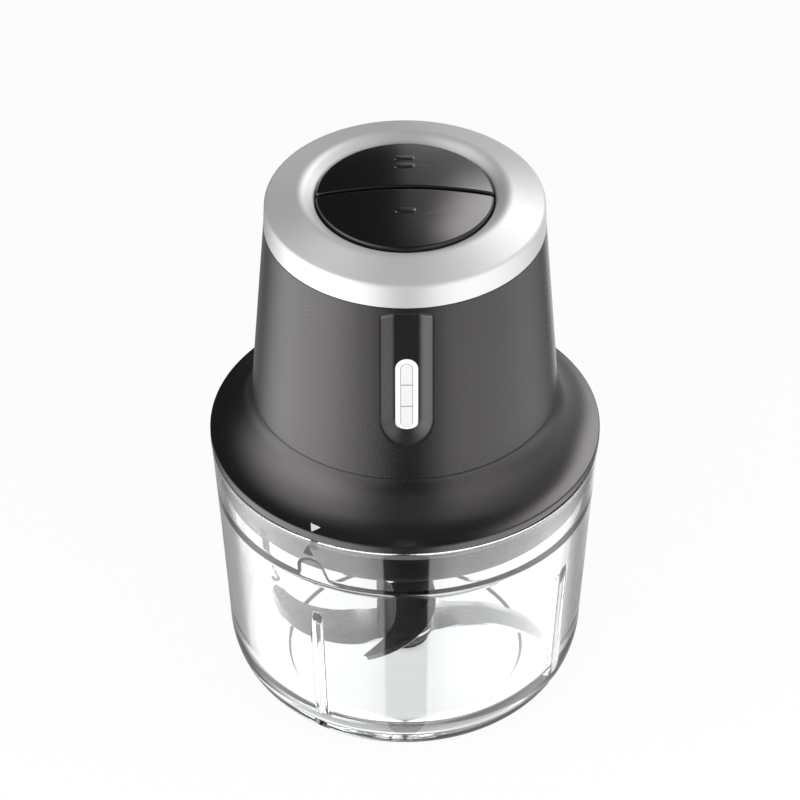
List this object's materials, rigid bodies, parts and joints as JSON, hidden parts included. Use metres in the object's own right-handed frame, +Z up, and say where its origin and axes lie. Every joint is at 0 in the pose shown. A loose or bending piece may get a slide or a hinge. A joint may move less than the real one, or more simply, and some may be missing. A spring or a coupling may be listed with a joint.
{
  "type": "food chopper",
  "caption": "Cordless food chopper: clear glass bowl with a winged steel blade on a pin, under a tapered motor head with half-round speed buttons and a lit charge gauge.",
  "frame": {"origin": "centre of the bowl's foot, on the surface it stands on", "axes": "+Z up along the blade's axis, -Y towards the front with the charge gauge, +X to the right seen from the front"},
  "size_m": [0.14, 0.14, 0.2111],
  "materials": {
    "glass": "clear",
    "steel": "ground",
    "silver": "satin silver",
    "anthracite": "satin",
    "black": "fine texture",
    "seal": "matt",
    "flap": "matt",
    "bearing": "plain",
    "gears": "plain",
    "lens": "lit white",
    "board": "plain",
    "flex": "plain",
    "lead": "plain",
    "magnet": "plain",
    "armature": "plain",
    "cell": "plain"
  },
  "bodies": {
    "bowl": {"glass_bowl": "glass", "blade_pin": "steel"},
    "blade": {"blade_hub": "black", "hub_bush": "bearing", "lower_blade": "steel", "blade_spacer": "black", "upper_blade": "steel", "hub_sleeve": "black"},
    "seal": {"bowl_seal": "seal"},
    "head": {"base_tub": "black", "base_skirt": "anthracite", "housing_shell": "anthracite", "trim_ring": "silver", "button_deck": "black", "control_board": "board", "board_parts": "black", "tact_switches": "steel", "gauge_frame": "lens", "gauge_lens": "lens", "led_board": "board", "led_chips": "lens", "gauge_ribbon": "flex", "charge_socket": "steel", "charge_board": "board", "charge_ribbon": "flex", "chassis_plate": "black", "chassis_screws": "steel", "gear_case": "gears", "output_bearing": "bearing", "shaft_seal": "seal", "motor_can": "steel", "motor_magnets": "magnet", "motor_cap": "black", "motor_leads": "lead", "battery_cells": "cell", "battery_leads": "lead", "cell_clamp": "black", "clamp_screws": "steel"},
    "front_button": {"front_button": "black", "front_spring": "steel"},
    "rear_button": {"rear_button": "black", "rear_spring": "steel"},
    "port_flap": {"port_flap": "flap"},
    "carrier": {"output_shaft": "steel", "planet_carrier": "steel"},
    "rotor": {"sun_pinion": "bearing", "motor_shaft": "steel", "armature": "armature"},
    "planet_a": {"planet_a": "gears"},
    "planet_b": {"planet_b": "gears"},
    "planet_c": {"planet_c": "gears"}
  },
  "joints": [
    {"name": "head_lift", "type": "slide", "parent": "bowl", "child": "seal", "axis": [0, 0, 1], "range_m": [0, 0.11]},
    {"name": "lock_twist", "type": "hinge", "parent": "seal", "child": "head", "pos_m": [0, 0, 0.1], "axis": [0, 0, 1], "range_deg": [0, 15]},
    {"name": "blade_spin", "type": "hinge", "parent": "bowl", "child": "blade", "pos_m": [0, 0, 0.02], "axis": [0, 0, 1], "continuous": true},
    {"name": "carrier_spin", "type": "hinge", "parent": "head", "child": "carrier", "pos_m": [0, 0, 0.09], "axis": [0, 0, 1], "continuous": true},
    {"name": "rotor_spin", "type": "hinge", "parent": "head", "child": "rotor", "pos_m": [0, 0, 0.13], "axis": [0, 0, 1], "continuous": true},
    {"name": "planet_a_spin", "type": "hinge", "parent": "carrier", "child": "planet_a", "pos_m": [0.012, 0, 0.105], "axis": [0, 0, 1], "continuous": true},
    {"name": "planet_b_spin", "type": "hinge", "parent": "carrier", "child": "planet_b", "pos_m": [-0.006, 0.01039, 0.105], "axis": [0, 0, 1], "continuous": true},
    {"name": "planet_c_spin", "type": "hinge", "parent": "carrier", "child": "planet_c", "pos_m": [-0.006, -0.01039, 0.105], "axis": [0, 0, 1], "continuous": true},
    {"name": "front_press", "type": "slide", "parent": "head", "child": "front_button", "axis": [0, 0, -1], "range_m": [0, 0.003], "stiffness_N_per_m": 800, "deforming": ["front_spring"]},
    {"name": "rear_press", "type": "slide", "parent": "head", "child": "rear_button", "axis": [0, 0, -1], "range_m": [0, 0.003], "stiffness_N_per_m": 800, "deforming": ["rear_spring"]},
    {"name": "flap_open", "type": "hinge", "parent": "head", "child": "port_flap", "pos_m": [0.00725, 0.05193, 0.14511], "axis": [0, 0.0759, -0.9971], "range_deg": [0, 95]}
  ],
  "couplings": [
    {"joint": "carrier_spin", "follows": "blade_spin", "ratio": 1},
    {"joint": "rotor_spin", "follows": "blade_spin", "ratio": 5},
    {"joint": "planet_a_spin", "follows": "blade_spin", "ratio": -2.6667},
    {"joint": "planet_b_spin", "follows": "blade_spin", "ratio": -2.6667},
    {"joint": "planet_c_spin", "follows": "blade_spin", "ratio": -2.6667}
  ]
}
